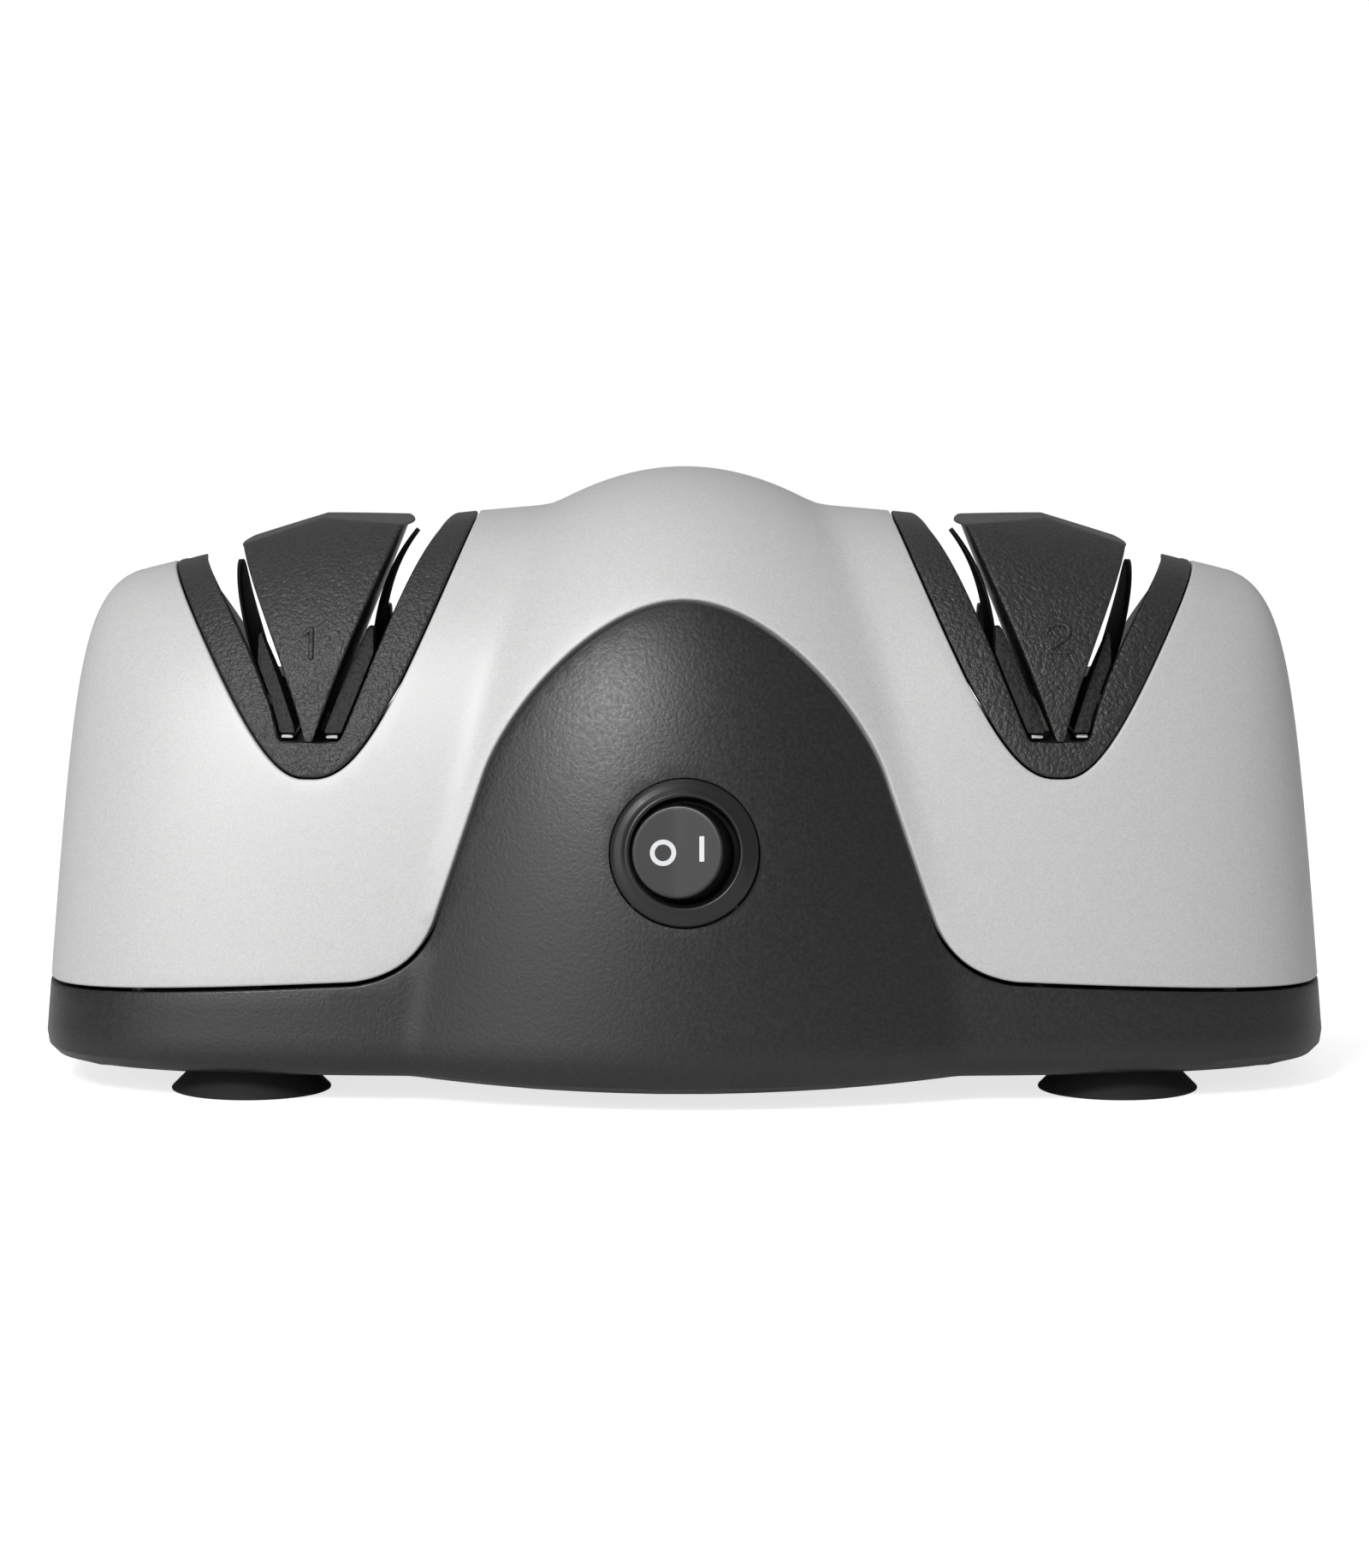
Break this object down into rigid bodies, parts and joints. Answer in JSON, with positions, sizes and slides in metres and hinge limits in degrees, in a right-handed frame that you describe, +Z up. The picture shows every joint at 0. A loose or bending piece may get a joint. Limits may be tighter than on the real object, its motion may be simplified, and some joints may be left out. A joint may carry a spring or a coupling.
{
  "type": "electric knife sharpener",
  "caption": "Low rounded mains knife sharpener with a domed silver cover, an arched black front panel with a round rocker, and inclined blade slots in a notch at each end.",
  "frame": {"origin": "on the worktop, under the middle of the body", "axes": "+X along the body from stage 1 to stage 2, -Y towards the front with the switch, +Z up"},
  "size_m": [0.21, 0.1111, 0.0993],
  "materials": {
    "silver_paint": "satin metallic silver lacquer",
    "black_plastic": "fine-grained moulding",
    "liner_plastic": "coarser-grained moulding",
    "guide_plastic": "ribbed grey-black moulding",
    "gloss_plastic": "smooth, half gloss",
    "rubber": "matte",
    "bright_steel": "polished",
    "screw_steel": "plain",
    "shaft_steel": "ground",
    "dark_steel": "blackened spring steel",
    "copper": "enamelled copper wire and bars",
    "brass": "plain",
    "carbon": "pressed carbon",
    "ferrite": "sintered",
    "coarse_stone": "bonded coarse grit",
    "fine_stone": "bonded fine grit",
    "board": "coated circuit board",
    "white_plastic": "plain"
  },
  "bodies": {
    "housing": {"top_cover": "silver_paint", "base_housing": "black_plastic", "base_plate": "black_plastic", "left_bearing_bracket": "black_plastic", "right_bearing_bracket": "black_plastic", "suction_foot_front_left": "rubber", "suction_foot_front_right": "rubber", "suction_foot_rear_right": "rubber", "suction_foot_rear_left": "rubber", "base_screw_front_left": "screw_steel", "base_screw_front_right": "screw_steel", "base_screw_rear_right": "screw_steel", "base_screw_rear_left": "screw_steel", "stage_1_liner": "liner_plastic", "stage_1_wedge": "liner_plastic", "stage_2_liner": "liner_plastic", "stage_2_wedge": "liner_plastic", "stage_1_left_guide_pads": "guide_plastic", "stage_1_left_guide_clip": "bright_steel", "stage_1_right_guide_pads": "guide_plastic", "stage_1_right_guide_clip": "bright_steel", "stage_2_left_guide_pads": "guide_plastic", "stage_2_left_guide_clip": "bright_steel", "stage_2_right_guide_pads": "guide_plastic", "stage_2_right_guide_clip": "bright_steel", "switch_body": "gloss_plastic", "motor_can": "shaft_steel", "left_shaft_bearing": "bright_steel", "right_shaft_bearing": "bright_steel", "motor_magnet_lower": "ferrite", "motor_magnet_upper": "ferrite", "motor_left_end_cap": "white_plastic", "motor_right_end_cap": "white_plastic", "suppressor_capacitor": "white_plastic", "motor_left_sleeve": "brass", "motor_right_sleeve": "brass", "switch_terminal_left": "brass", "switch_terminal_right": "brass", "brush_front": "carbon", "brush_rear": "carbon", "cord_gland": "rubber", "rectifier_board": "board"},
    "rotor": {"main_shaft": "shaft_steel", "armature_core": "shaft_steel", "armature_winding": "copper", "commutator": "copper", "cooling_fan": "white_plastic", "coarse_wheel_inner_spring": "screw_steel", "coarse_wheel_outer_spring": "screw_steel", "fine_wheel_inner_spring": "screw_steel", "fine_wheel_outer_spring": "screw_steel"},
    "coarse_wheel_unit": {"coarse_wheel": "coarse_stone", "coarse_wheel_hub": "gloss_plastic"},
    "fine_wheel_unit": {"fine_wheel": "fine_stone", "fine_wheel_hub": "gloss_plastic"},
    "rocker": {"switch_rocker": "gloss_plastic"},
    "stage_1_left_leaf": {"stage_1_left_leaf_spring": "dark_steel"},
    "stage_1_right_leaf": {"stage_1_right_leaf_spring": "dark_steel"},
    "stage_2_left_leaf": {"stage_2_left_leaf_spring": "dark_steel"},
    "stage_2_right_leaf": {"stage_2_right_leaf_spring": "dark_steel"}
  },
  "joints": [
    {"name": "motor_spin", "type": "hinge", "parent": "housing", "child": "rotor", "pos_m": [0, 0, 0.044], "axis": [1, 0, 0], "continuous": true},
    {"name": "coarse_wheel_float", "type": "slide", "parent": "rotor", "child": "coarse_wheel_unit", "axis": [1, 0, 0], "range_m": [-0.0004, 0.0004], "stiffness_N_per_m": 400},
    {"name": "fine_wheel_float", "type": "slide", "parent": "rotor", "child": "fine_wheel_unit", "axis": [1, 0, 0], "range_m": [-0.0004, 0.0004], "stiffness_N_per_m": 400},
    {"name": "rocker_switch", "type": "hinge", "parent": "housing", "child": "rocker", "pos_m": [0, -0.04952, 0.04083], "axis": [0, 0.1934, 0.9811], "range_deg": [0, 24]},
    {"name": "stage_1_left_leaf_flex", "type": "hinge", "parent": "housing", "child": "stage_1_left_leaf", "pos_m": [-0.0672, 0, 0.05854], "axis": [0, -1, 0], "range_deg": [0, 4], "stiffness_Nm_per_rad": 0.05},
    {"name": "stage_1_right_leaf_flex", "type": "hinge", "parent": "housing", "child": "stage_1_right_leaf", "pos_m": [-0.053, 0, 0.05854], "axis": [0, 1, 0], "range_deg": [0, 4], "stiffness_Nm_per_rad": 0.05},
    {"name": "stage_2_left_leaf_flex", "type": "hinge", "parent": "housing", "child": "stage_2_left_leaf", "pos_m": [0.053, 0, 0.05854], "axis": [0, -1, 0], "range_deg": [0, 4], "stiffness_Nm_per_rad": 0.05},
    {"name": "stage_2_right_leaf_flex", "type": "hinge", "parent": "housing", "child": "stage_2_right_leaf", "pos_m": [0.0672, 0, 0.05854], "axis": [0, 1, 0], "range_deg": [0, 4], "stiffness_Nm_per_rad": 0.05}
  ]
}
